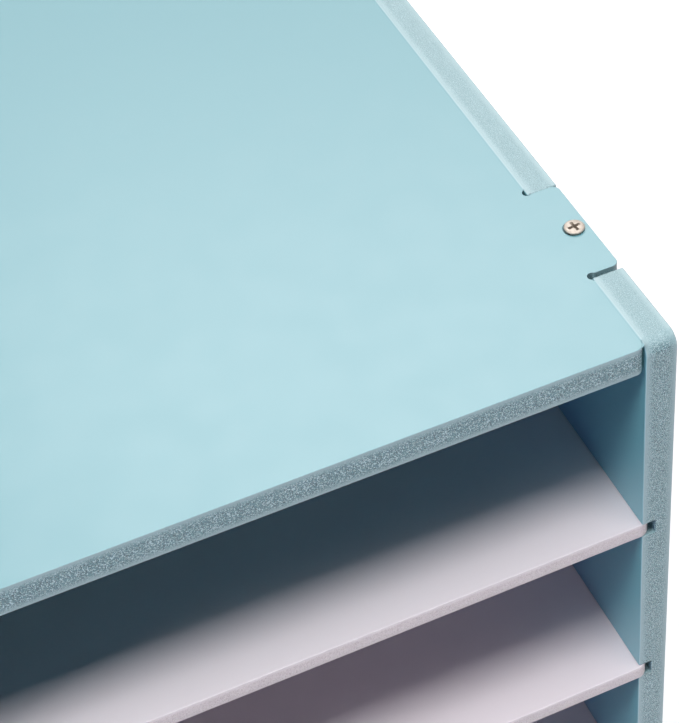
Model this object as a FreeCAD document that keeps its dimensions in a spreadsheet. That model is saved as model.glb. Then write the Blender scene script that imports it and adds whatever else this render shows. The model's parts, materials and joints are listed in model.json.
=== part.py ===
import FreeCAD, Part
import Sketcher
import os

# Mail sorter: a case of painted boards with two columns of open compartments.
# The shelves lie loose in grooves that are open at the front, and pull out.
# Front is -Y and up is +Z. The origin is on the desk, under the middle of the case.

# Sizes in millimetres, apart from the number of tiers and the turn of the screw heads
SIZES = {
    # Case
    "tiers": 6,
    "slot_width": 236.5,
    "slot_height": 60.2,
    "case_depth": 300,
    "side_thickness": 9,
    "panel_thickness": 9,
    "divider_thickness": 9,
    "shelf_thickness": 5,
    "back_thickness": 5,
    "side_corner_radius": 4,
    "panel_corner_radius": 2.6,
    "arris_radius": 0.35,
    "panel_arris_radius": 0.2,
    # Tabs of the top and bottom panels, in notches of the sides
    "notch_inset": 48.35,
    "notch_length": 38,
    "notch_arris_radius": 0.5,
    "tab_play": 1.5,
    "tab_shift": 0.7,
    "tab_corner_radius": 2,
    "relief_radius": 1.4,
    "relief_across": 0.45,
    "relief_along": 0.95,
    "panel_end_gap": 0.05,
    "panel_setback": 0.1,
    # Grooves and housings
    "side_groove_depth": 4.2,
    "divider_groove_depth": 3,
    "groove_play": 0.3,
    "housing_depth": 3,
    "housing_play": 0.2,
    "back_inset": 8,
    "back_edge_gap": 0.4,
    # Shelves
    "side_reach": 3,
    "divider_reach": 2.2,
    "shelf_corner_radius": 3.4,
    "shelf_arris_radius": 0.4,
    "shelf_back_gap": 1,
    "shelf_recess": 0.1,
    "shelf_pull": 0.85,
    # Screws
    "screw_length": 25,
    "tip_length": 3,
    "shank_diameter": 3,
    "head_diameter": 5.7,
    "head_proud": 0.6,
    "head_rim": 0.35,
    "head_edge_radius": 0.15,
    "recess_span": 3.6,
    "recess_width": 0.8,
    "recess_depth": 1.1,
    "recess_turn": 7,
    "screw_edge_inset": 4.2,
    "screw_play": 0.1,
    "sink_play": 0.22,
    # Rubber feet
    "foot_diameter": 12,
    "foot_height": 2.5,
    "foot_edge_radius": 0.8,
    "foot_inset": 22,
}

# Lengths that follow from the sizes
ZERO = "0 * sizes.tiers"
SHELF_COUNT = "(sizes.tiers - 1)"
TIER_PITCH = "(sizes.slot_height + sizes.shelf_thickness)"
INNER_WIDTH = "(sizes.divider_thickness + 2 * sizes.slot_width)"
CASE_WIDTH = f"({INNER_WIDTH} + 2 * sizes.side_thickness)"
INNER_HEIGHT = f"(sizes.tiers * sizes.slot_height + {SHELF_COUNT} * sizes.shelf_thickness)"
CASE_HEIGHT = f"({INNER_HEIGHT} + 2 * sizes.panel_thickness)"
CASE_FRONT = "(-sizes.case_depth / 2)"
GROOVE_HEIGHT = "(sizes.shelf_thickness + sizes.groove_play)"
NOTCH_CENTRES = ("sizes.notch_inset", "(sizes.case_depth - sizes.notch_inset)")

# The top and bottom panels end just inside the front and rear edges of the sides. Each tab
# lies a little nearer the middle of the case than the middle of its notch.
PANEL_DEPTH = "(sizes.case_depth - 2 * sizes.panel_setback)"
PANEL_HALF_WIDTH = f"({INNER_WIDTH} / 2 - sizes.panel_end_gap)"
TAB_LENGTH = "(sizes.notch_length - sizes.tab_play)"
TAB_CENTRE = "(sizes.notch_inset + sizes.tab_shift - sizes.panel_setback)"
TAB_CENTRES = (TAB_CENTRE, f"({PANEL_DEPTH} - {TAB_CENTRE})")
SCREW_CENTRES = tuple(f"({centre} + sizes.panel_setback)" for centre in TAB_CENTRES)

# The back panel and its groove, measured from the front of the case
BACK_FRONT = "(sizes.case_depth - sizes.back_inset - sizes.back_thickness)"
BACK_GROOVE_FRONT = f"({BACK_FRONT} - sizes.groove_play / 2)"
BACK_GROOVE_REAR = f"({BACK_FRONT} + sizes.back_thickness + sizes.groove_play / 2)"
BACK_HEIGHT = f"({INNER_HEIGHT} + 2 * sizes.housing_depth - 2 * sizes.back_edge_gap)"
BACK_WIDTH = f"({INNER_WIDTH} + 2 * sizes.side_groove_depth - 2 * sizes.back_edge_gap)"

DIVIDER_DEPTH = f"({BACK_GROOVE_FRONT} - sizes.panel_setback)"
DIVIDER_HEIGHT = f"({INNER_HEIGHT} + 2 * sizes.housing_depth)"

SHELF_WIDTH = "(sizes.slot_width + sizes.side_reach + sizes.divider_reach)"
SHELF_DEPTH = f"({BACK_FRONT} - sizes.shelf_back_gap)"

# Screws: how far one goes in, the hole for its shank, and the cone cut for its head, which is
# a little wider than the head and seats it at the cone's foot
SCREW_REACH = "(sizes.screw_length - sizes.head_proud)"
SCREW_HOLE_RADIUS = "((sizes.shank_diameter + sizes.screw_play) / 2)"
SINK_SIZE = f"(sizes.head_diameter / 2 + sizes.sink_play - {SCREW_HOLE_RADIUS})"

# How close two lengths or volumes lie to count as the same
TOLERANCE = 1e-4

Vector = FreeCAD.Vector
doc = FreeCAD.newDocument("mail_sorter")

sheet = doc.addObject("Spreadsheet::Sheet", "sizes")
for row, (alias, size) in enumerate(SIZES.items(), start=1):
    sheet.set(f"A{row}", alias)
    sheet.set(f"B{row}", str(size))
    sheet.setAlias(f"B{row}", alias)
doc.recompute()

pieces = []


def value(expression):
    """The number that an expression gives."""
    return float(sheet.evalExpression(expression))


def signed(sign, expression):
    return expression if sign > 0 else f"(-{expression})"


# Bodies, sketches and features

def new_body(name):
    body = doc.addObject("PartDesign::Body", name)
    body.Label = name
    pieces.append(body)
    return body


def place(body, across, along, up):
    """Puts the body's own origin at three expressions."""
    body.setExpression(".Placement.Base.x", across)
    body.setExpression(".Placement.Base.y", along)
    body.setExpression(".Placement.Base.z", up)


def own_feature(body, role):
    """One of the planes and axes of the body's own origin."""
    return next(feature for feature in body.Origin.OriginFeatures if feature.Role == role)


def new_sketch(body, name, plane, offset=None):
    """A sketch on a plane of the body's origin, or at an offset along that plane's normal."""
    sketch = body.newObject("Sketcher::SketchObject", f"{body.Label}_{name}")
    sketch.AttachmentSupport = [(own_feature(body, plane), "")]
    sketch.MapMode = "FlatFace"
    if offset:
        sketch.setExpression(".AttachmentOffset.Base.z", offset)
    return sketch


def dimension(sketch, kind, geometry, point, expression):
    """Holds a point at a distance from the sketch's origin."""
    constraint = Sketcher.Constraint(kind, -1, 1, geometry, point, value(expression))
    index = sketch.addConstraint(constraint)
    sketch.setExpression(f"Constraints[{index}]", expression)


def add_outline(sketch, points):
    """A closed outline of straight lines, each corner given as two expressions."""
    corners = [Vector(value(across), value(up), 0) for across, up in points]
    first = sketch.GeometryCount
    for start, end in zip(corners, corners[1:] + corners[:1]):
        sketch.addGeometry(Part.LineSegment(start, end), False)
    for index, (across, up) in enumerate(points):
        following = first + (index + 1) % len(points)
        sketch.addConstraint(Sketcher.Constraint("Coincident", first + index, 2, following, 1))
        dimension(sketch, "DistanceX", first + index, 1, across)
        dimension(sketch, "DistanceY", first + index, 1, up)


def add_rectangle(sketch, left, bottom, right, top):
    add_outline(sketch, [(left, bottom), (right, bottom), (right, top), (left, top)])


def add_circle(sketch, across, up, radius):
    circle = Part.Circle(Vector(value(across), value(up), 0), Vector(0, 0, 1), value(radius))
    index = sketch.addGeometry(circle, False)
    dimension(sketch, "DistanceX", index, 3, across)
    dimension(sketch, "DistanceY", index, 3, up)
    constraint = sketch.addConstraint(Sketcher.Constraint("Radius", index, value(radius)))
    sketch.setExpression(f"Constraints[{constraint}]", radius)


def add_pad(body, sketch, length, forwards=True):
    """Adds the sketch's area along its normal when forwards, or else against it."""
    pad = body.newObject("PartDesign::Pad", f"{sketch.Name}_pad")
    pad.Profile = sketch
    pad.Reversed = not forwards
    pad.setExpression("Length", length)
    doc.recompute()
    return pad


def add_pocket(body, sketch, depth, forwards):
    """Cuts the sketch's area along its normal when forwards, or else against it."""
    before = body.Shape.Volume
    pocket = body.newObject("PartDesign::Pocket", f"{sketch.Name}_pocket")
    pocket.Profile = sketch
    pocket.Reversed = forwards
    pocket.setExpression("Length", depth)
    doc.recompute()
    if body.Shape.Volume > before - TOLERANCE:
        raise RuntimeError(f"{pocket.Name} cuts nothing")
    return pocket


def add_pattern(body, axis, spacing, count, feature=None):
    """Repeats one feature, or the whole piece, along an axis of the body's origin."""
    before = body.Shape.Volume
    pattern = body.newObject("PartDesign::LinearPattern", f"{body.Label}_row_{axis[0]}")
    if feature:
        pattern.Originals = [feature]
    else:
        pattern.TransformMode = "Whole shape"
    pattern.Direction = (own_feature(body, axis), [""])
    pattern.Mode = "Spacing"
    pattern.setExpression("Offset", spacing)
    pattern.setExpression("Occurrences", count)
    body.Tip = pattern
    doc.recompute()
    if value(count) > 1 and abs(body.Shape.Volume - before) < TOLERANCE:
        raise RuntimeError(f"{pattern.Name} repeats nothing")


def add_edge_feature(body, kind, name, size, test):
    """Rounds or bevels those edges of the piece that pass a test."""
    base = body.Tip
    edges = enumerate(base.Shape.Edges, start=1)
    names = [f"Edge{number}" for number, edge in edges if test(edge)]
    feature = body.newObject(f"PartDesign::{kind}", f"{body.Label}_{name}")
    feature.Base = (base, names)
    feature.setExpression("Radius" if kind == "Fillet" else "Size", size)
    doc.recompute()


def round_edges(body, name, radius, test):
    add_edge_feature(body, "Fillet", name, radius, test)


def same(first, second):
    return abs(first - second) < TOLERANCE


def runs_along(edge, axis):
    """Whether an edge runs straight along X, Y or Z."""
    box = edge.BoundBox
    lengths = {"X": box.XLength, "Y": box.YLength, "Z": box.ZLength}
    return all(lengths[other] < TOLERANCE for other in lengths if other != axis)


def lies_in(edge, axis, positions):
    """Whether an edge lies in one of the planes across an axis."""
    box = edge.BoundBox
    low, high = {"X": (box.XMin, box.XMax), "Z": (box.ZMin, box.ZMax)}[axis]
    return any(same(low, position) and same(high, position) for position in positions)


def is_circle(edge, radius):
    return isinstance(edge.Curve, Part.Circle) and same(edge.Curve.Radius, radius)


# Side panels
# Each has a notch for every tab in its top and bottom edges, five grooves for shelves and
# one for the back panel. The body's origin is the front lower corner of the inner face.

def make_side_panel(name, side):
    body = new_body(name)
    right = side > 0
    outer_face = side * value("sizes.side_thickness")
    top_edge = value(CASE_HEIGHT)

    board = new_sketch(body, "board", "YZ_Plane")
    add_rectangle(board, ZERO, ZERO, "sizes.case_depth", CASE_HEIGHT)
    add_pad(body, board, "sizes.side_thickness", right)
    round_edges(body, "corners", "sizes.side_corner_radius", lambda edge: runs_along(edge, "X"))

    notches = new_sketch(body, "notches", "YZ_Plane")
    for centre in NOTCH_CENTRES:
        front = f"{centre} - sizes.notch_length / 2"
        rear = f"{centre} + sizes.notch_length / 2"
        add_rectangle(notches, front, ZERO, rear, "sizes.panel_thickness")
        add_rectangle(notches, front, f"{CASE_HEIGHT} - sizes.panel_thickness", rear, CASE_HEIGHT)
    add_pocket(body, notches, "sizes.side_thickness", right)
    mouths = (value("sizes.side_corner_radius"), value("sizes.case_depth - sizes.side_corner_radius"))
    round_edges(body, "notch_arrises", "sizes.notch_arris_radius", lambda edge:
                runs_along(edge, "X") and lies_in(edge, "Z", (0, top_edge))
                and mouths[0] + TOLERANCE < edge.BoundBox.YMin < mouths[1] - TOLERANCE)
    round_edges(body, "arrises", "sizes.arris_radius",
                lambda edge: lies_in(edge, "X", (0, outer_face)))

    groove = new_sketch(body, "groove", "YZ_Plane")
    bottom = "(sizes.panel_thickness + sizes.slot_height)"
    add_rectangle(groove, ZERO, bottom, BACK_FRONT, f"{bottom} + {GROOVE_HEIGHT}")
    first_groove = add_pocket(body, groove, "sizes.side_groove_depth", right)
    add_pattern(body, "Z_Axis", TIER_PITCH, SHELF_COUNT, first_groove)

    back_groove = new_sketch(body, "back_groove", "YZ_Plane")
    end = "(sizes.panel_thickness - sizes.housing_depth)"
    add_rectangle(back_groove, BACK_GROOVE_FRONT, end, BACK_GROOVE_REAR, f"{CASE_HEIGHT} - {end}")
    add_pocket(body, back_groove, "sizes.side_groove_depth", right)

    across = signed(side, "(sizes.side_thickness - sizes.screw_edge_inset)")
    for level, plane in (("upper", CASE_HEIGHT), ("lower", ZERO)):
        pilots = new_sketch(body, f"{level}_pilots", "XY_Plane", plane)
        for centre in SCREW_CENTRES:
            add_circle(pilots, across, centre, SCREW_HOLE_RADIUS)
        add_pocket(body, pilots, SCREW_REACH, level == "lower")

    place(body, signed(side, f"({INNER_WIDTH} / 2)"), CASE_FRONT, "sizes.foot_height")


# Top and bottom panels
# Each lies between the sides, with four tabs out to their outer faces. Round router reliefs
# open the inner corners of the tabs. The divider and the back panel are housed in the inner
# face. The body's origin is the middle of the front edge, on the inner face.

def make_end_panel(name, up):
    body = new_body(name)
    outwards = up > 0
    half_width = value(PANEL_HALF_WIDTH)
    tab_end = value(f"{CASE_WIDTH} / 2")
    outer_face = up * value("sizes.panel_thickness")

    board = new_sketch(body, "board", "XY_Plane")
    add_rectangle(board, f"-{PANEL_HALF_WIDTH}", ZERO, PANEL_HALF_WIDTH, PANEL_DEPTH)
    add_pad(body, board, "sizes.panel_thickness", outwards)
    round_edges(body, "corners", "sizes.panel_corner_radius", lambda edge: runs_along(edge, "Z"))

    for end, centre in zip(("front", "rear"), TAB_CENTRES):
        tabs = new_sketch(body, f"{end}_tabs", "XY_Plane")
        add_rectangle(tabs, f"-{CASE_WIDTH} / 2", f"{centre} - {TAB_LENGTH} / 2",
                      f"{CASE_WIDTH} / 2", f"{centre} + {TAB_LENGTH} / 2")
        add_pad(body, tabs, "sizes.panel_thickness", outwards)
    round_edges(body, "tab_corners", "sizes.tab_corner_radius", lambda edge:
                runs_along(edge, "Z") and same(abs(edge.BoundBox.XMin), tab_end))
    round_edges(body, "arrises", "sizes.panel_arris_radius",
                lambda edge: lies_in(edge, "Z", (0, outer_face)))

    reliefs = new_sketch(body, "reliefs", "XY_Plane")
    for centre in TAB_CENTRES:
        for side in (-1, 1):
            across = signed(side, f"({PANEL_HALF_WIDTH} + sizes.relief_across)")
            for end in ("-", "+"):
                along = f"{centre} {end} ({TAB_LENGTH} / 2 + sizes.relief_along)"
                add_circle(reliefs, across, along, "sizes.relief_radius")
    add_pocket(body, reliefs, "sizes.panel_thickness", outwards)

    housing = new_sketch(body, "divider_housing", "XY_Plane")
    half_housing = "(sizes.divider_thickness + sizes.housing_play) / 2"
    groove_front = f"({BACK_GROOVE_FRONT} - sizes.panel_setback)"
    groove_rear = f"({BACK_GROOVE_REAR} - sizes.panel_setback)"
    add_rectangle(housing, f"-{half_housing}", ZERO, half_housing, groove_front)
    add_pocket(body, housing, "sizes.housing_depth", outwards)
    back_groove = new_sketch(body, "back_groove", "XY_Plane")
    add_rectangle(back_groove, f"-{PANEL_HALF_WIDTH}", groove_front, PANEL_HALF_WIDTH, groove_rear)
    add_pocket(body, back_groove, "sizes.housing_depth", outwards)

    holes = new_sketch(body, "screw_holes", "XY_Plane")
    screw_line = f"({CASE_WIDTH} / 2 - sizes.screw_edge_inset)"
    for across in (f"-{screw_line}", ZERO, screw_line):
        for centre in TAB_CENTRES:
            add_circle(holes, across, centre, SCREW_HOLE_RADIUS)
    add_pocket(body, holes, "sizes.panel_thickness", outwards)
    hole_radius = value(SCREW_HOLE_RADIUS)
    add_edge_feature(body, "Chamfer", "countersinks", SINK_SIZE, lambda edge:
                     lies_in(edge, "Z", (outer_face,)) and is_circle(edge, hole_radius))

    inner_level = f"(sizes.foot_height + {CASE_HEIGHT} / 2 + {signed(up, f'({INNER_HEIGHT} / 2)')})"
    place(body, ZERO, f"{CASE_FRONT} + sizes.panel_setback", inner_level)


# Centre divider
# It stands in the housings of the top and bottom panels and is grooved on both faces. The
# body's origin is the front lower corner, in the middle of the board's thickness.

def make_divider(name):
    body = new_body(name)
    half = "(sizes.divider_thickness / 2)"

    board = new_sketch(body, "board", "YZ_Plane", f"-{half}")
    add_rectangle(board, ZERO, ZERO, DIVIDER_DEPTH, DIVIDER_HEIGHT)
    add_pad(body, board, "sizes.divider_thickness")
    faces = (-value(half), value(half))
    round_edges(body, "arrises", "sizes.arris_radius", lambda edge:
                runs_along(edge, "Z") and same(edge.BoundBox.YMin, 0) and lies_in(edge, "X", faces))

    bottom = "(sizes.housing_depth + sizes.slot_height)"
    for hand, side in (("left", -1), ("right", 1)):
        groove = new_sketch(body, f"{hand}_groove", "YZ_Plane", signed(side, half))
        add_rectangle(groove, ZERO, bottom, DIVIDER_DEPTH, f"{bottom} + {GROOVE_HEIGHT}")
        first_groove = add_pocket(body, groove, "sizes.divider_groove_depth", side < 0)
        add_pattern(body, "Z_Axis", TIER_PITCH, SHELF_COUNT, first_groove)

    depth = f"({SCREW_REACH} - sizes.panel_thickness + sizes.housing_depth)"
    for level, plane in (("upper", DIVIDER_HEIGHT), ("lower", ZERO)):
        pilots = new_sketch(body, f"{level}_pilots", "XY_Plane", plane)
        for centre in TAB_CENTRES:
            add_circle(pilots, ZERO, centre, SCREW_HOLE_RADIUS)
        add_pocket(body, pilots, depth, level == "lower")

    place(body, ZERO, f"{CASE_FRONT} + sizes.panel_setback",
          "sizes.foot_height + sizes.panel_thickness - sizes.housing_depth")


# Back panel
# It is held all round in grooves. The body's origin is the middle of its lower front edge.

def make_back_panel(name):
    body = new_body(name)
    board = new_sketch(body, "board", "XY_Plane")
    add_rectangle(board, f"-{BACK_WIDTH} / 2", ZERO, f"{BACK_WIDTH} / 2", "sizes.back_thickness")
    add_pad(body, board, BACK_HEIGHT)
    place(body, ZERO, f"{CASE_FRONT} + {BACK_FRONT}",
          f"sizes.foot_height + {CASE_HEIGHT} / 2 - {BACK_HEIGHT} / 2")


# Shelves
# A shelf rests on the lower walls of its grooves. The shelves are numbered from the top, and
# every second one is pulled a little forward. The body's origin is the lower left corner.

def make_shelf(name, column, number):
    body = new_body(name)
    top_face = value("sizes.shelf_thickness")
    board = new_sketch(body, "board", "XY_Plane")
    add_rectangle(board, ZERO, ZERO, SHELF_WIDTH, SHELF_DEPTH)
    add_pad(body, board, "sizes.shelf_thickness")
    round_edges(body, "corners", "sizes.shelf_corner_radius", lambda edge: runs_along(edge, "Z"))
    round_edges(body, "arrises", "sizes.shelf_arris_radius",
                lambda edge: lies_in(edge, "Z", (0, top_face)))

    if column > 0:
        across = "(sizes.divider_thickness / 2 - sizes.divider_reach)"
    else:
        across = f"(-{INNER_WIDTH} / 2 - sizes.side_reach)"
    pull = "sizes.shelf_pull" if number % 2 == 0 else ZERO
    place(body, across, f"{CASE_FRONT} + sizes.shelf_recess - {pull}",
          f"sizes.foot_height + {CASE_HEIGHT} - sizes.panel_thickness - {number} * {TIER_PITCH}")


# Screws
# Countersunk cross-head screws with a low rim, in a row along each side or along the divider.
# The body's origin is on the first screw's axis, at the surface of the panel.

def make_screws(name, up, columns):
    body = new_body(name)
    head_top = value("sizes.head_proud")
    head_radius = "(sizes.head_diameter / 2)"
    shank_radius = "(sizes.shank_diameter / 2)"
    rim_foot = "(sizes.head_proud - sizes.head_rim)"

    profile = new_sketch(body, "profile", "XZ_Plane")
    add_outline(profile, [
        (ZERO, f"-{SCREW_REACH}"),
        (shank_radius, f"-{SCREW_REACH} + sizes.tip_length"),
        (shank_radius, f"-{SINK_SIZE}"),
        (head_radius, rim_foot),
        (head_radius, "sizes.head_proud"),
        (ZERO, "sizes.head_proud"),
    ])
    turned = body.newObject("PartDesign::Revolution", f"{name}_turned")
    turned.Profile = profile
    turned.ReferenceAxis = (profile, ["V_Axis"])
    turned.Angle = 360
    doc.recompute()
    round_edges(body, "head_edge", "sizes.head_edge_radius",
                lambda edge: lies_in(edge, "Z", (head_top,)))

    recess = new_sketch(body, "recess", "XY_Plane", "sizes.head_proud")
    recess.setExpression(".AttachmentOffset.Rotation.Angle", "sizes.recess_turn")
    tip = "(sizes.recess_span / 2)"
    wall = "(sizes.recess_width / 2)"
    add_outline(recess, [
        (tip, f"-{wall}"), (tip, wall), (wall, wall),
        (wall, tip), (f"-{wall}", tip), (f"-{wall}", wall),
        (f"-{tip}", wall), (f"-{tip}", f"-{wall}"), (f"-{wall}", f"-{wall}"),
        (f"-{wall}", f"-{tip}"), (wall, f"-{tip}"), (wall, f"-{wall}"),
    ])
    add_pocket(body, recess, "sizes.recess_depth", False)

    across = ZERO
    if columns > 1:
        spacing = f"({CASE_WIDTH} - 2 * sizes.screw_edge_inset)"
        add_pattern(body, "X_Axis", spacing, str(columns))
        across = f"-{spacing} / 2"
    add_pattern(body, "Y_Axis", f"{SCREW_CENTRES[1]} - {SCREW_CENTRES[0]}", "2")

    if up < 0:
        body.Placement = FreeCAD.Placement(Vector(), FreeCAD.Rotation(Vector(1, 0, 0), 180))
    first = SCREW_CENTRES[0] if up > 0 else SCREW_CENTRES[1]
    level = f"sizes.foot_height + {CASE_HEIGHT}" if up > 0 else "sizes.foot_height"
    place(body, across, f"{CASE_FRONT} + {first}", level)


# Feet
# Rubber discs under the bottom panel. The body's origin is the middle of the lower face.

def make_foot(name, side, end):
    body = new_body(name)
    disc = new_sketch(body, "disc", "XY_Plane")
    add_circle(disc, ZERO, ZERO, "sizes.foot_diameter / 2")
    add_pad(body, disc, "sizes.foot_height")
    round_edges(body, "edge", "sizes.foot_edge_radius", lambda edge: lies_in(edge, "Z", (0,)))
    place(body, signed(side, f"({CASE_WIDTH} / 2 - sizes.foot_inset)"),
          signed(end, "(sizes.case_depth / 2 - sizes.foot_inset)"), ZERO)


make_side_panel("right_side_panel", 1)
make_side_panel("left_side_panel", -1)
make_end_panel("top_panel", 1)
make_end_panel("bottom_panel", -1)
make_divider("centre_divider")
make_back_panel("back_panel")
for shelf_number in range(1, int(value("sizes.tiers"))):
    make_shelf(f"shelf_left_{shelf_number}", -1, shelf_number)
    make_shelf(f"shelf_right_{shelf_number}", 1, shelf_number)
make_screws("top_tab_screws", 1, 2)
make_screws("top_divider_screws", 1, 1)
make_screws("bottom_tab_screws", -1, 2)
make_screws("bottom_divider_screws", -1, 1)
for hand, hand_side in (("left", -1), ("right", 1)):
    make_foot(f"foot_front_{hand}", hand_side, -1)
    make_foot(f"foot_rear_{hand}", hand_side, 1)
doc.recompute()

# Nothing is written unless every feature and every piece is sound.
for feature in doc.Objects:
    if "Invalid" in feature.State or "Error" in feature.State:
        raise RuntimeError(f"{feature.Name} failed: {feature.State}")
for piece in pieces:
    if piece.Shape.isNull() or not piece.Shape.isValid():
        raise RuntimeError(f"{piece.Label} has no sound shape")

os.makedirs("parts", exist_ok=True)
for piece in pieces:
    piece.Shape.exportStep(f"parts/{piece.Label}.step")
    box = piece.Shape.BoundBox
    print(f"{piece.Label}: {len(piece.Shape.Solids)} solid, {piece.Shape.Volume:.0f} mm3, "
          f"x {box.XMin:.2f} to {box.XMax:.2f}, y {box.YMin:.2f} to {box.YMax:.2f}, "
          f"z {box.ZMin:.2f} to {box.ZMax:.2f}")
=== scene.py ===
import json
import math

import bmesh
import bpy
from mathutils import Matrix, Vector

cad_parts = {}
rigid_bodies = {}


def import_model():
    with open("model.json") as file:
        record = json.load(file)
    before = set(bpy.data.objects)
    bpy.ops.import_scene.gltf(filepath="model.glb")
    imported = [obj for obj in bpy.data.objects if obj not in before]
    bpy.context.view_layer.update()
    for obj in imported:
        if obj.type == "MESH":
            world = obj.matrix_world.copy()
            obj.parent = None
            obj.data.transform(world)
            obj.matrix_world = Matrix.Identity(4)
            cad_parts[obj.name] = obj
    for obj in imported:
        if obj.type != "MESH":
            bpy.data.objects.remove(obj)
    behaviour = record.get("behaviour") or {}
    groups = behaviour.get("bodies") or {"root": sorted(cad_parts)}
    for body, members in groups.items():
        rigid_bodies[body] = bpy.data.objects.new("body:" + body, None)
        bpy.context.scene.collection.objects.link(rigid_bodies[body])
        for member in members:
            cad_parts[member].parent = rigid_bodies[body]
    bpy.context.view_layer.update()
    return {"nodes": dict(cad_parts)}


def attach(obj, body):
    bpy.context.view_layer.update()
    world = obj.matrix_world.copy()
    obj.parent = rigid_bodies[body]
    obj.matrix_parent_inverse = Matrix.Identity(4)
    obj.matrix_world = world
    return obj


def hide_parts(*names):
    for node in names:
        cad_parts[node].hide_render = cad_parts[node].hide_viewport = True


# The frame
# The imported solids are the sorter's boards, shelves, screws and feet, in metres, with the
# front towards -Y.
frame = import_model()
sorter = frame["nodes"]

# Side panels
# Two upright 9 mm fibre boards, sprayed aqua in a satin paint after the grooves and notches
# are cut. The dense skins take the paint smoothly, and the open core stays rough and darker.

# Sizes of the blotches in the paint and in the board
FACE_CLOUD = 0.09
SKIN_CLOUD = 0.0011
CORE_DRIFT = 0.004
SANDED_PATCH = 0.006
SATIN_PATCH = 0.012
PEEL_SIZE = 0.0016

# Where one kind of surface starts to turn into another, and where it has done so
FACE_TO_EDGE = (0.9, 0.5)
FACE_TO_ARRIS = (0.98, 0.75)
EDGE_TO_ARRIS = (0.08, 0.4)
SKIN_TO_GROOVE = (0.97, 0.93)
LEVEL_TO_UPRIGHT = (0.9, 0.3)
FIBRE_TO_PIT = (0.48, 0.42)
FIBRE_TO_GLINT = (0.54, 0.6)
BARE_TO_SANDED = (0.3, 0.62)
CLOUD_MIDDLE = (0.3, 0.7)

# How far the core shows on level edges, how uneven and soft its border is, and how much is
# sanded and rough where there is least of it
LEVEL_CORE_SHARE = 0.45
CORE_RAGGED = 0.16
CORE_BLUR = 0.28
LEAST_SANDING = 0.6
SMOOTH_EDGE_GRIT = 0.1
GLINT_TO_FIBRE = 0.9
SATIN_SPREAD = 0.01


def paint_colour(red, green, blue):
    """A colour as a paint chart gives it, from 0 to 255, as the shader's own values."""
    chart = (red / 255, green / 255, blue / 255)
    return tuple(c / 12.92 if c <= 0.04045 else ((c + 0.055) / 1.055) ** 2.4 for c in chart) + (1.0,)


def add_node(tree, kind, **settings):
    """A new node of that kind, with its settings."""
    node = tree.nodes.new(kind)
    for name, setting in settings.items():
        setattr(node, name, setting)
    return node


def feed(tree, socket, source):
    """Joins a source to a socket, or writes it there when it is a plain number or colour."""
    if isinstance(source, bpy.types.NodeSocket):
        tree.links.new(source, socket)
    else:
        socket.default_value = source


def reckon(tree, operation, *terms):
    """What one step of arithmetic makes of the terms."""
    node = add_node(tree, "ShaderNodeMath", operation=operation)
    for socket, term in zip(node.inputs, terms):
        feed(tree, socket, term)
    return node.outputs["Value"]


def ramp(tree, source, start, end, low=0.0, high=1.0):
    """A smooth rise from low to high as the source goes from start to end."""
    node = add_node(tree, "ShaderNodeMapRange", interpolation_type="SMOOTHSTEP")
    for name, term in zip(("Value", "From Min", "From Max", "To Min", "To Max"),
                          (source, start, end, low, high)):
        feed(tree, node.inputs[name], term)
    return node.outputs["Result"]


def tint(tree, share, ground, over):
    """The ground colour with a share of another colour laid over it."""
    node = add_node(tree, "ShaderNodeMix", data_type="RGBA")
    feed(tree, node.inputs["Factor"], share)
    lower, upper = [socket for socket in node.inputs if socket.type == "RGBA"]
    feed(tree, lower, ground)
    feed(tree, upper, over)
    return next(socket for socket in node.outputs if socket.type == "RGBA")


def mottle(tree, place, size, detail=2.0, roughness=0.5):
    """Noise from 0 to 1 whose blotches are about as large as the size, in metres."""
    node = add_node(tree, "ShaderNodeTexNoise")
    for name, term in (("Vector", place), ("Scale", 1 / size),
                       ("Detail", detail), ("Roughness", roughness)):
        feed(tree, node.inputs[name], term)
    return node.outputs["Fac"]


def relief(tree, height, depth, below=None):
    """A bump of that depth in metres, on top of another bump."""
    node = add_node(tree, "ShaderNodeBump")
    feed(tree, node.inputs["Height"], height)
    feed(tree, node.inputs["Distance"], depth)
    if below:
        feed(tree, node.inputs["Normal"], below)
    return node.outputs["Normal"]


def new_finish(name):
    """An empty material: its node tree, its shader, and its texture places."""
    material = bpy.data.materials.new(name)
    material.use_nodes = True
    tree = material.node_tree
    return material, tree, tree.nodes["Principled BSDF"], add_node(tree, "ShaderNodeTexCoord")


def split(tree, source):
    """The three parts of a place or direction."""
    node = add_node(tree, "ShaderNodeSeparateXYZ")
    feed(tree, node.inputs[0], source)
    return node.outputs


def satin_gloss(tree, place, gloss):
    """The roughness of a satin paint, a little patchy."""
    patches = mottle(tree, place, SATIN_PATCH, detail=3.0)
    return ramp(tree, patches, *CLOUD_MIDDLE, gloss - SATIN_SPREAD, gloss + SATIN_SPREAD)


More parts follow.
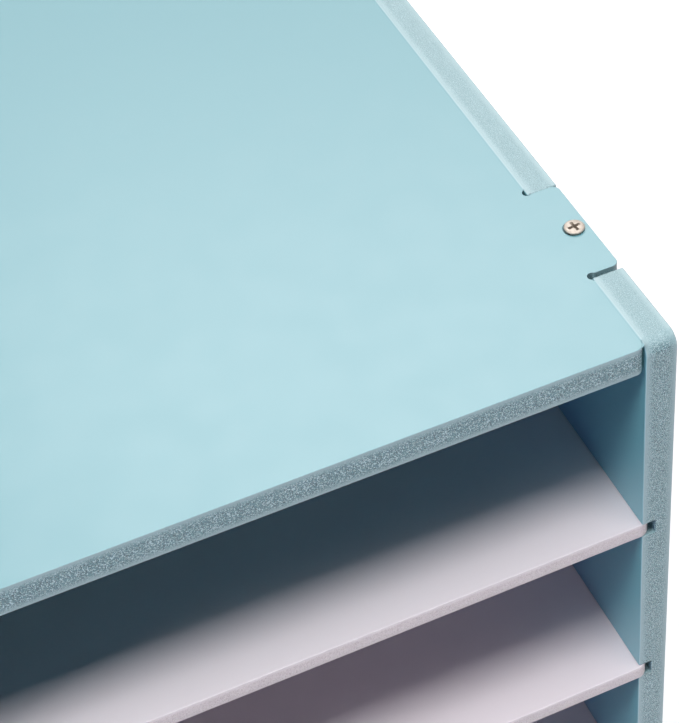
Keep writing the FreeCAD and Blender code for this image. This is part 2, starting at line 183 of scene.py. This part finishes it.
def board_finish(name, across, paint):
    """Satin paint on a fibre board whose thickness runs along one axis."""
    material, tree, shader, spot = new_finish(name)
    place = spot.outputs["Object"]

    # Nearness goes from 0 in the middle of the board to 1 at its two faces. Flatness is 1 on
    # the faces and 0 on the edges, and levelness is 1 where a surface lies level.
    facing = split(tree, spot.outputs["Normal"])
    off_centre = reckon(tree, "SUBTRACT", split(tree, spot.outputs["Generated"])[across], 0.5)
    nearness = reckon(tree, "MULTIPLY", reckon(tree, "ABSOLUTE", off_centre), 2.0)
    flatness = reckon(tree, "ABSOLUTE", facing[across])
    levelness = reckon(tree, "ABSOLUTE", facing["Z"])

    # A cut edge, or the floor of a groove that goes into the core
    cut = reckon(tree, "MAXIMUM", ramp(tree, flatness, *FACE_TO_EDGE), ramp(tree, nearness, *SKIN_TO_GROOVE))
    drift = mottle(tree, place, CORE_DRIFT, detail=3.0, roughness=0.6)
    ragged = reckon(tree, "MULTIPLY_ADD", drift, CORE_RAGGED, nearness)
    core_share = ramp(tree, ragged, paint["core_end"] + CORE_BLUR, paint["core_end"] - CORE_BLUR)
    core = reckon(tree, "MULTIPLY", cut, core_share)

    # The edges that lie level are smoother than the upright ones. The upright edges are also
    # drawn darker, with more of the core's pits and glints: painted shade, standing in for the
    # light that grazes across their rough core.
    upright = ramp(tree, levelness, *LEVEL_TO_UPRIGHT, LEVEL_CORE_SHARE, 1.0)
    open_core = reckon(tree, "MULTIPLY", core, upright)
    bare_core = reckon(tree, "MULTIPLY", open_core, upright)

    # The core's fibres leave dark pits and pale glints in the paint.
    fibre = mottle(tree, place, paint["fibre_size"], detail=2.0, roughness=0.55)
    sparkle = mottle(tree, place, paint["fibre_size"] * GLINT_TO_FIBRE, detail=1.0)
    pits = reckon(tree, "MULTIPLY", bare_core, ramp(tree, fibre, *FIBRE_TO_PIT, 0.0, paint["pit_share"]))
    glints = reckon(tree, "MULTIPLY", open_core,
                    ramp(tree, sparkle, *FIBRE_TO_GLINT, 0.0, paint["glint_share"]))
    face = tint(tree, mottle(tree, place, FACE_CLOUD, detail=3.0), paint["face"], paint["face_far"])
    skin = tint(tree, mottle(tree, place, SKIN_CLOUD), paint["skin"], paint["skin_far"])
    edge = tint(tree, bare_core, skin, paint["core"])
    edge = tint(tree, pits, edge, paint["pit"])
    edge = tint(tree, glints, edge, paint["glint"])
    coat = tint(tree, cut, face, edge)

    # The arrises are sanded, so the paint is thinner and duller there. Each board's arris tone
    # is laid over them too: on the aqua boards it is paler, partly real wear and partly a
    # painted highlight along the rounded arrises, and on the pale boards it is greyer.
    arris = reckon(tree, "MULTIPLY",
                   ramp(tree, flatness, *EDGE_TO_ARRIS), ramp(tree, flatness, *FACE_TO_ARRIS))
    sanding = ramp(tree, mottle(tree, place, SANDED_PATCH, detail=4.0), *BARE_TO_SANDED, LEAST_SANDING, 1.0)
    arris_tone = reckon(tree, "MULTIPLY", arris, reckon(tree, "MULTIPLY", sanding, paint["arris_tone_share"]))
    feed(tree, shader.inputs["Base Color"], tint(tree, arris_tone, coat, paint["arris_tone"]))

    sanded = reckon(tree, "MAXIMUM", cut, arris)
    feed(tree, shader.inputs["Roughness"],
         reckon(tree, "MULTIPLY_ADD", sanded, paint["sanding"], satin_gloss(tree, place, paint["gloss"])))
    shader.inputs["Specular IOR Level"].default_value = paint["specular"]
    peel = relief(tree, mottle(tree, place, PEEL_SIZE), paint["peel"])
    rough_share = reckon(tree, "MAXIMUM", open_core, reckon(tree, "MULTIPLY", cut, SMOOTH_EDGE_GRIT))
    grit = reckon(tree, "MULTIPLY", fibre, rough_share)
    feed(tree, shader.inputs["Normal"], relief(tree, grit, paint["grit"], peel))
    return material


AQUA_PAINT = {
    "face": paint_colour(101, 157, 166),
    "face_far": paint_colour(100, 155, 165),
    "skin": paint_colour(149, 180, 186),
    "skin_far": paint_colour(144, 176, 182),
    "core": paint_colour(108, 154, 161),
    "core_end": 0.76,
    "fibre_size": 0.00032,
    "pit": paint_colour(36, 80, 91),
    "pit_share": 1.0,
    "glint": paint_colour(198, 225, 230),
    "glint_share": 0.9,
    # Paler arris tone: partly sanding wear, partly a painted highlight.
    "arris_tone": paint_colour(150, 182, 190),
    "arris_tone_share": 0.25,
    "gloss": 0.35,
    "sanding": 0.02,
    "specular": 1.0,
    "peel": 0.000006,
    "grit": 0.0004,
}


def dress(finish, *names):
    """Gives the finish to whole solids of the frame."""
    for name in names:
        for slot in sorter[name].material_slots:
            slot.material = finish


dress(board_finish("side_panel_paint", "X", AQUA_PAINT), "left_side_panel", "right_side_panel")

# Top and bottom panels
# The same board and paint, but their cut edges are drawn with a darker core than the
# sides'. Their tabs lie in the notches of the sides, flush with the outer faces, and router
# reliefs open the tabs' inner corners.
END_PANEL_PAINT = dict(
    AQUA_PAINT,
    core=paint_colour(84, 135, 144),
    # More of a paler arris tone: partly wear, partly a painted highlight on the front arris.
    arris_tone=paint_colour(126, 162, 170),
    arris_tone_share=0.5,
)
dress(board_finish("end_panel_paint", "Z", END_PANEL_PAINT), "top_panel", "bottom_panel")

# Filled joints
# The joints between the top and bottom panels and the edges of the sides are filled and
# painted over, beside the tabs, so that the surface goes over them without a groove.
JOINT_RUNS = ((-0.1470, -0.1218), (-0.0801, 0.0801), (0.1218, 0.1470))
JOINT_INNER = 0.24070
JOINT_OUTER = 0.24142
JOINT_MIDDLE = 0.24099
JOINT_ROOT = 0.00045
JOINT_SAG = 0.00002
JOINT_LIFT = 0.000004
JOINT_STEPS = 8
JOINT_END = 0.0006
JOINT_END_SHARE = 0.1
JOINT_TINT_START = 0.24080
PANEL_FACES = ((0.4067, 1), (0.0025, -1))
CORNER_CENTRE = (0.23839, 0.1473)
CORNER_RADIUS = 0.00256
CORNER_REACH = math.radians(55)
CORNER_STEPS = 8
WEB_EDGE = ((0.24112, 0.1470), (0.24112, 0.1488), (0.23992, 0.14942))
WEB_DROP = 0.000004
WEB_THICKNESS = 0.0005


def joint_section(share):
    """Across a joint: how far out and how far below the surface, with its depth scaled."""
    half = (JOINT_OUTER - JOINT_INNER) / 2
    centre = (JOINT_OUTER + JOINT_INNER) / 2
    across = [JOINT_INNER + 2 * half * step / JOINT_STEPS for step in range(JOINT_STEPS + 1)]
    upper = [(x, JOINT_SAG * (1 - ((x - centre) / half) ** 2) - JOINT_LIFT) for x in across]
    return upper + [(JOINT_MIDDLE, JOINT_ROOT * share)]


def lay_filler(mesh, side, level, up, start, end):
    """One run of filler, with both ends thinned out."""
    rings = []
    for y, share in ((start, JOINT_END_SHARE), (start + JOINT_END, 1.0),
                     (end - JOINT_END, 1.0), (end, JOINT_END_SHARE)):
        rings.append([mesh.verts.new((side * x, y, level - up * drop)) for x, drop in joint_section(share)])
    count = len(rings[0])
    for near, far in zip(rings, rings[1:]):
        for step in range(count):
            following = (step + 1) % count
            mesh.faces.new((near[step], near[following], far[following], far[step]))
    mesh.faces.new(rings[0])
    mesh.faces.new(reversed(rings[-1]))


def lay_web(mesh, side, end, level, up):
    """The filler's end at a rounded corner of the panel: a thin web between it and the side."""
    columns = []
    for step in range(CORNER_STEPS + 1):
        turn = CORNER_REACH * step / CORNER_STEPS
        inner = Vector(CORNER_CENTRE) + CORNER_RADIUS * Vector((math.cos(turn), math.sin(turn)))
        along = 2 * step / CORNER_STEPS
        first = int(min(along, 1))
        outer = Vector(WEB_EDGE[first]).lerp(Vector(WEB_EDGE[first + 1]), along - first)
        columns.append([mesh.verts.new((side * x, end * y, level - up * drop))
                        for (x, y), drop in ((inner, WEB_DROP), (outer, WEB_DROP),
                                             (outer, WEB_THICKNESS), (inner, WEB_THICKNESS))])
    for near, far in zip(columns, columns[1:]):
        for corner in range(4):
            other = (corner + 1) % 4
            mesh.faces.new((near[corner], near[other], far[other], far[corner]))
    mesh.faces.new(columns[0])
    mesh.faces.new(reversed(columns[-1]))


def filler_finish():
    """The panel's own paint at the joint's inner border, turning towards the side's edge into
    the paler arris tone, which is partly worn paint and partly a painted highlight.
    """
    material, tree, shader, spot = new_finish("filled_joint_paint")
    place = spot.outputs["Object"]
    out = reckon(tree, "ABSOLUTE", split(tree, place)["X"])
    edge_share = ramp(tree, out, JOINT_TINT_START, JOINT_OUTER)
    face = tint(tree, mottle(tree, place, FACE_CLOUD, detail=3.0), AQUA_PAINT["face"], AQUA_PAINT["face_far"])
    feed(tree, shader.inputs["Base Color"], tint(tree, edge_share, face, AQUA_PAINT["arris_tone"]))
    satin = satin_gloss(tree, place, AQUA_PAINT["gloss"])
    feed(tree, shader.inputs["Roughness"],
         reckon(tree, "MULTIPLY_ADD", edge_share, AQUA_PAINT["sanding"], satin))
    shader.inputs["Specular IOR Level"].default_value = AQUA_PAINT["specular"]
    feed(tree, shader.inputs["Normal"], relief(tree, mottle(tree, place, PEEL_SIZE), AQUA_PAINT["peel"]))
    return material


filler = bmesh.new()
for panel_level, panel_up in PANEL_FACES:
    for hand in (-1, 1):
        for run_start, run_end in JOINT_RUNS:
            lay_filler(filler, hand, panel_level, panel_up, run_start, run_end)
        for end in (-1, 1):
            lay_web(filler, hand, end, panel_level, panel_up)
bmesh.ops.recalc_face_normals(filler, faces=filler.faces)
filler_mesh = bpy.data.meshes.new("filled_joints")
filler.to_mesh(filler_mesh)
filler.free()
filler_mesh.materials.append(filler_finish())
filled_joints = bpy.data.objects.new("filled_joints", filler_mesh)
bpy.context.scene.collection.objects.link(filled_joints)
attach(filled_joints, "case")

# Centre divider
# The same board and paint again, upright between the two columns. It is grooved on both
# faces for the shelves, and housed in the top and bottom panels.
dress(board_finish("divider_paint", "X", AQUA_PAINT), "centre_divider")

# Back panel
# A thin fibre board in a pale lilac paint. It is held in grooves of the sides and of the top
# and bottom panels, all round.
PALE_PAINT = {
    "face": paint_colour(233, 225, 230),
    "face_far": paint_colour(231, 222, 228),
    "skin": paint_colour(226, 217, 221),
    "skin_far": paint_colour(222, 212, 217),
    "core": paint_colour(228, 219, 221),
    "core_end": 0.78,
    "fibre_size": 0.0004,
    "pit": paint_colour(186, 172, 176),
    "pit_share": 0.4,
    "glint": paint_colour(242, 236, 237),
    "glint_share": 0.5,
    "arris_tone": paint_colour(196, 188, 193),
    "arris_tone_share": 0.75,
    "gloss": 0.42,
    "sanding": 0.05,
    "specular": 0.7,
    "peel": 0.000006,
    "grit": 0.0004,
}
dress(board_finish("back_panel_paint", "Y", PALE_PAINT), "back_panel")

# Shelves
# Ten loose 5 mm boards in the same pale paint, with rounded corners. Each lies in a groove
# of a side panel and one of the divider, and slides out to the front.
shelf_names = [f"shelf_{hand}_{number}" for hand in ("left", "right") for number in range(1, 6)]
dress(board_finish("shelf_paint", "Z", PALE_PAINT), *shelf_names)

# Screws
# Nickel-plated steel screws with a low flat head and a punched cross recess. They hold the
# tabs to the sides and the divider to the top and bottom, with their threads in the board.

# The head and shank by radius and height in millimetres, from the panel's outer face
MM = 0.001
HEAD_PROFILE = ((0, 0.95), (1.6, 0.95), (2.4, 0.91), (2.66, 0.84), (2.8, 0.74), (2.85, 0.64), (2.85, 0.36),
                (2.76, 0.22), (1.5, -1.42), (1.3, -2), (1.25, -21.4), (0.1, -24.3), (0, -24.4))
HEAD_TOP = HEAD_PROFILE[0][1]
HEAD_STEPS = 72
SHARP_TURN = math.radians(32)
THREAD_PITCH = 1.3
THREAD_CREST = 1.5
THREAD_ROOT = 1.2
THREAD_HALF_WIDTH = 0.28
THREAD_SUNK = 0.06
THREAD_POINT = 0.02
THREAD_TOP = -3.0
THREAD_END = -24.2
THREAD_TAPER = 3.0
THREAD_STEPS = 24
RECESS_TIP = (2.0, 0.9)
RECESS_WALL = (0.46, 0.24)
RECESS_FLOOR = -0.4
PUNCH_RISE = 0.1


def cross_outline(tip, wall):
    """The twelve corners of a cross, round its centre."""
    quarter = [(tip, -wall), (tip, wall), (wall, wall)]
    quarter_turns = ((1, 0), (0, 1), (-1, 0), (0, -1))
    return [(x * c - y * s, x * s + y * c) for c, s in quarter_turns for x, y in quarter]


def cross_block(name, upper, lower, levels):
    """A solid between two crosses, each given as the reach of its wings and half their width."""
    corners = [Vector((x, y, level)) * MM for (tip, wall), level in zip((upper, lower), levels)
               for x, y in cross_outline(tip, wall)]
    count = len(corners) // 2
    walls = [(n, (n + 1) % count, count + (n + 1) % count, count + n) for n in range(count)]
    mesh = bpy.data.meshes.new(name)
    mesh.from_pydata(corners, [], walls + [tuple(range(count)), tuple(range(2 * count - 1, count - 1, -1))])
    block = bmesh.new()
    block.from_mesh(mesh)
    bmesh.ops.recalc_face_normals(block, faces=block.faces)
    block.to_mesh(mesh)
    block.free()
    return bpy.data.objects.new(name, mesh)


def turned_head(name):
    """The head and the bare shank, turned from one profile."""
    body = bmesh.new()
    rings = [[body.verts.new(Vector((radius * math.cos(turn), radius * math.sin(turn), level)) * MM)
              for turn in (2 * math.pi * step / HEAD_STEPS for step in range(HEAD_STEPS))]
             for radius, level in HEAD_PROFILE[1:-1]]
    for upper, lower in zip(rings, rings[1:]):
        for step in range(HEAD_STEPS):
            following = (step + 1) % HEAD_STEPS
            body.faces.new((upper[step], lower[step], lower[following], upper[following]))
    for ring, (radius, level) in ((rings[0], HEAD_PROFILE[0]), (rings[-1], HEAD_PROFILE[-1])):
        pole = body.verts.new(Vector((radius, 0, level)) * MM)
        for step in range(HEAD_STEPS):
            body.faces.new((pole, ring[step], ring[(step + 1) % HEAD_STEPS]))
    bmesh.ops.recalc_face_normals(body, faces=body.faces)
    mesh = bpy.data.meshes.new(name)
    body.to_mesh(mesh)
    body.free()
    return bpy.data.objects.new(name, mesh)


def punch_out(piece, tool):
    """Cuts another solid out of the piece, and takes that solid away."""
    scene_objects = bpy.context.scene.collection.objects
    scene_objects.link(piece)
    scene_objects.link(tool)
    change = piece.modifiers.new("change", "BOOLEAN")
    change.operation = "DIFFERENCE"
    change.object = tool
    change.solver = "EXACT"
    bpy.context.view_layer.update()
    result = bpy.data.meshes.new_from_object(piece.evaluated_get(bpy.context.evaluated_depsgraph_get()))
    piece.modifiers.clear()
    piece.data = result
    scene_objects.unlink(piece)
    bpy.data.objects.remove(tool)


def add_thread(body):
    """A rolled thread, as a three-sided ridge that winds down the shank and runs out at both ends."""
    steps = round((THREAD_TOP - THREAD_END) / THREAD_PITCH * THREAD_STEPS)
    ridge = []
    for step in range(steps + 1):
        turn = 2 * math.pi * step / THREAD_STEPS
        level = THREAD_TOP - THREAD_PITCH * step / THREAD_STEPS
        taper = min(1.0, (level - THREAD_END) / THREAD_TAPER)
        crest = THREAD_ROOT * taper + (THREAD_CREST - THREAD_ROOT) * min(1.0, step / THREAD_STEPS)
        root = max(THREAD_ROOT * taper - THREAD_SUNK, THREAD_POINT)
        section = ((root, level + THREAD_HALF_WIDTH), (max(crest, root), level),
                   (root, level - THREAD_HALF_WIDTH))
        ridge.append([body.verts.new(Vector((r * math.cos(turn), r * math.sin(turn), z)) * MM)
                      for r, z in section])
    faces = [body.faces.new(ridge[0]), body.faces.new(reversed(ridge[-1]))]
    for above, below in zip(ridge, ridge[1:]):
        for corner in range(3):
            other = (corner + 1) % 3
            faces.append(body.faces.new((above[corner], above[other], below[other], below[corner])))
    bmesh.ops.recalc_face_normals(body, faces=faces)


NICKEL = (paint_colour(178, 169, 160), paint_colour(160, 151, 142))
NICKEL_STAIN = 0.0012
NICKEL_ROUGHNESS = (0.48, 0.6)
NICKEL_GRAIN = 0.00025
NICKEL_GRAIN_DEPTH = 0.00001


def nickel_finish():
    """Dull nickel, stained in soft blotches, with a fine tumbled grain."""
    material, tree, shader, spot = new_finish("nickel_plate")
    place = spot.outputs["Object"]
    stain = mottle(tree, place, NICKEL_STAIN, detail=3.0)
    feed(tree, shader.inputs["Base Color"], tint(tree, stain, *NICKEL))
    shader.inputs["Metallic"].default_value = 1.0
    feed(tree, shader.inputs["Roughness"], ramp(tree, stain, *CLOUD_MIDDLE, *NICKEL_ROUGHNESS))
    grain = mottle(tree, place, NICKEL_GRAIN)
    feed(tree, shader.inputs["Normal"], relief(tree, grain, NICKEL_GRAIN_DEPTH))
    return material


# The recess walls are drawn nearly black: painted shade, standing in for the shade deep in the narrow cross.
PAINTED_RECESS_SHADE = (paint_colour(44, 38, 26), paint_colour(28, 24, 16))
RECESS_SHADE_BLOTCH = 0.0005
RECESS_ROUGHNESS = (0.6, 0.75)
RECESS_RELIEF = 0.00002


def recess_shade_finish():
    """The walls of the punched recess, rough and drawn nearly black: painted shade for the deep, narrow
    cross.
    """
    material, tree, shader, spot = new_finish("painted_recess_shade")
    stain = mottle(tree, spot.outputs["Object"], RECESS_SHADE_BLOTCH, detail=3.0)
    feed(tree, shader.inputs["Base Color"], tint(tree, stain, *PAINTED_RECESS_SHADE))
    feed(tree, shader.inputs["Roughness"], ramp(tree, stain, *CLOUD_MIDDLE, *RECESS_ROUGHNESS))
    feed(tree, shader.inputs["Normal"], relief(tree, stain, RECESS_RELIEF))
    return material


screw = turned_head("screw")
screw.data.materials.append(nickel_finish())
punch = cross_block("recess_punch", (RECESS_TIP[0], RECESS_WALL[0]), (RECESS_TIP[1], RECESS_WALL[1]),
                    (HEAD_TOP + PUNCH_RISE, RECESS_FLOOR))
punch.data.materials.append(recess_shade_finish())
punch_out(screw, punch)
with_thread = bmesh.new()
with_thread.from_mesh(screw.data)
add_thread(with_thread)
with_thread.to_mesh(screw.data)
with_thread.free()


def set_screws(name, places):
    """One piece for a node's screws, each given as its place, up or down, and its turn."""
    group = bmesh.new()
    for place, upwards, turn in places:
        start = len(group.verts)
        group.from_mesh(screw.data)
        group.verts.ensure_lookup_table()
        flip = Matrix.Identity(4) if upwards else Matrix.Rotation(math.pi, 4, "X")
        spot = Matrix.Translation(place) @ flip @ Matrix.Rotation(math.radians(turn), 4, "Z")
        bmesh.ops.transform(group, matrix=spot, verts=group.verts[start:])
    mesh = bpy.data.meshes.new(name)
    group.to_mesh(mesh)
    group.free()
    for material in screw.data.materials:
        mesh.materials.append(material)
    for face in mesh.polygons:
        face.use_smooth = True
    mesh.set_sharp_from_angle(angle=SHARP_TURN)
    piece = bpy.data.objects.new(name, mesh)
    bpy.context.scene.collection.objects.link(piece)
    return piece


TOP_LEVEL = 0.4067
BOTTOM_LEVEL = 0.0025
TAB_SCREW_X = 0.2459
SCREW_Y = 0.1012
top_tab = [((side * TAB_SCREW_X, end * SCREW_Y, TOP_LEVEL), True, turn)
           for side, end, turn in ((1, -1, 7), (1, 1, 38), (-1, -1, 64), (-1, 1, 21))]
top_divider = [((0, end * SCREW_Y, TOP_LEVEL), True, turn) for end, turn in ((-1, 52), (1, 15))]
bottom_tab = [((side * TAB_SCREW_X, end * SCREW_Y, BOTTOM_LEVEL), False, turn)
              for side, end, turn in ((1, -1, 30), (1, 1, 71), (-1, -1, 12), (-1, 1, 45))]
bottom_divider = [((0, end * SCREW_Y, BOTTOM_LEVEL), False, turn) for end, turn in ((-1, 5), (1, 33))]
for row, places in (("top_tab_screws", top_tab), ("top_divider_screws", top_divider),
                    ("bottom_tab_screws", bottom_tab), ("bottom_divider_screws", bottom_divider)):
    piece = set_screws(f"{row}_dressed", places)
    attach(piece, "case")
    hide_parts(row)
bpy.data.objects.remove(screw)


# Feet
# Four discs of dark rubber, a little dusty. They are glued under the bottom panel, and keep
# its screw heads off the desk.
RUBBER = (paint_colour(46, 46, 48), paint_colour(66, 66, 68))
RUBBER_DUST = 0.0024
RUBBER_ROUGHNESS = (0.7, 0.88)
RUBBER_GRAIN = 0.0004
RUBBER_GRAIN_DEPTH = 0.00003


def rubber_finish():
    """Dull rubber, greyer where the dust lies."""
    material, tree, shader, spot = new_finish("foot_rubber_finish")
    place = spot.outputs["Object"]
    dust = mottle(tree, place, RUBBER_DUST, detail=4.0)
    feed(tree, shader.inputs["Base Color"], tint(tree, dust, *RUBBER))
    feed(tree, shader.inputs["Roughness"], ramp(tree, dust, *CLOUD_MIDDLE, *RUBBER_ROUGHNESS))
    grain = mottle(tree, place, RUBBER_GRAIN, detail=3.0)
    feed(tree, shader.inputs["Normal"], relief(tree, grain, RUBBER_GRAIN_DEPTH))
    return material


dress(rubber_finish(), "foot_front_left", "foot_front_right", "foot_rear_left", "foot_rear_right")

# Floor
# A wide pale studio floor, and no part of the sorter. It reads as white to the camera, more
# so with distance, and keeps the sorter's shadow.
HALF_FLOOR = 9.0
FLOOR_GREY = (paint_colour(198, 196, 198), paint_colour(202, 200, 202))
FLOOR_CLOUD = 0.5
FLOOR_ROUGHNESS = 0.9
NEAR_FLOOR = 0.8
FAR_FLOOR = 3.2
NEAR_GLOW = 0.6
FAR_GLOW = 1.0
WHITE = (1.0, 1.0, 1.0, 1.0)

floor_mesh = bpy.data.meshes.new("studio_floor")
floor_mesh.from_pydata([(-HALF_FLOOR, -HALF_FLOOR, 0), (HALF_FLOOR, -HALF_FLOOR, 0),
                        (HALF_FLOOR, HALF_FLOOR, 0), (-HALF_FLOOR, HALF_FLOOR, 0)], [], [(0, 1, 2, 3)])
floor = bpy.data.objects.new("studio_floor", floor_mesh)
bpy.context.scene.collection.objects.link(floor)
floor_paint, floor_tree, floor_shader, floor_spot = new_finish("floor_paint")
floor_place = floor_spot.outputs["Object"]
floor_cloud = mottle(floor_tree, floor_place, FLOOR_CLOUD, detail=3.0)
feed(floor_tree, floor_shader.inputs["Base Color"], tint(floor_tree, floor_cloud, *FLOOR_GREY))
floor_shader.inputs["Roughness"].default_value = FLOOR_ROUGHNESS
floor_shader.inputs["Emission Color"].default_value = WHITE
floor_ray = add_node(floor_tree, "ShaderNodeLightPath").outputs
floor_seen = reckon(floor_tree, "MAXIMUM", floor_ray["Is Camera Ray"], floor_ray["Is Glossy Ray"])
floor_reach = add_node(floor_tree, "ShaderNodeVectorMath", operation="LENGTH")
feed(floor_tree, floor_reach.inputs[0], floor_place)
floor_glow = ramp(floor_tree, floor_reach.outputs["Value"], NEAR_FLOOR, FAR_FLOOR, NEAR_GLOW, FAR_GLOW)
feed(floor_tree, floor_shader.inputs["Emission Strength"],
     reckon(floor_tree, "MULTIPLY", floor_seen, floor_glow))
floor_mesh.materials.append(floor_paint)


# Light
# Two long soft lights hang high above and in front of the sorter, a third stands high on its
# left and a fainter one behind it. A low one and a faint blue one fill in the front edges.

def add_softbox(name, place, aim, width, height, brightness, colour=(1.0, 1.0, 1.0)):
    """A soft light at a place, turned to another, with the brightness of its surface."""
    panel = bpy.data.lights.new(name, "AREA")
    panel.shape = "RECTANGLE"
    panel.size = width
    panel.size_y = height
    panel.energy = brightness * math.pi * width * height
    panel.color = colour
    softbox = bpy.data.objects.new(name, panel)
    softbox.location = place
    softbox.rotation_euler = (Vector(place) - Vector(aim)).to_track_quat("Z", "Y").to_euler()
    bpy.context.scene.collection.objects.link(softbox)


add_softbox("forward_softbox", place=(-1.7, -1.86, 6.4), aim=(-1.7, -1.86, 0.0),
            width=9.0, height=1.62, brightness=6.8)
add_softbox("overhead_softbox", place=(-1.7, -0.45, 6.4), aim=(-1.7, -0.45, 0.0),
            width=9.0, height=1.2, brightness=3.3)
add_softbox("left_softbox", place=(-5.5, -1.25, 4.2), aim=(0.24, -0.15, 0.37),
            width=1.1, height=2.5, brightness=18.0)
add_softbox("rear_softbox", place=(1.4, 3.38, 4.49), aim=(0.24, -0.13, 0.4),
            width=3.2, height=1.8, brightness=6.0)
add_softbox("front_softbox", place=(0.3, -4.6, 0.2), aim=(0.24, -0.15, 0.33),
            width=3.0, height=0.6, brightness=5.0, colour=(1.0, 0.98, 0.95))
add_softbox("left_fill", place=(-4.0, -2.5, 0.15), aim=(0.24, -0.15, 0.3),
            width=1.2, height=1.2, brightness=6.5, colour=(0.1, 0.1, 1.0))

# Surroundings
# The studio is white to the camera and in reflections. Its walls throw only a faint cool
# light on the sorter.
SHADE_COLOUR = (0.7, 0.62, 1.2, 1.0)
SHADE_STRENGTH = 0.03

world = bpy.data.worlds.new("studio")
bpy.context.scene.world = world
world.use_nodes = True
studio = world.node_tree
background = studio.nodes["Background"]
ray = add_node(studio, "ShaderNodeLightPath").outputs
clear_view = reckon(studio, "MAXIMUM", ray["Is Camera Ray"], ray["Is Glossy Ray"])
clear_view = reckon(studio, "MAXIMUM", clear_view, ray["Is Transmission Ray"])
feed(studio, background.inputs["Color"], tint(studio, clear_view, SHADE_COLOUR, WHITE))
feed(studio, background.inputs["Strength"], ramp(studio, clear_view, 0.0, 1.0, SHADE_STRENGTH, 1.0))

# Camera
# It looks down on the front right corner of the top. The photograph is the left part of a
# wider picture, so the lens is shifted.
LENS = 96.462
SENSOR_WIDTH = 36
LENS_SHIFT = -0.08506
CAMERA_PLACE = (0.067794, -0.452191, 0.751385)
CAMERA_TURNS = (45.02737, 4.16385, -23.76997)

camera_data = bpy.data.cameras.new("photo_camera")
camera_data.lens = LENS
camera_data.sensor_width = SENSOR_WIDTH
camera_data.shift_x = LENS_SHIFT
camera = bpy.data.objects.new("photo_camera", camera_data)
bpy.context.scene.collection.objects.link(camera)
camera.location = CAMERA_PLACE
camera.rotation_euler = [math.radians(turn) for turn in CAMERA_TURNS]
bpy.context.scene.camera = camera
bpy.context.scene.view_settings.view_transform = "Standard"
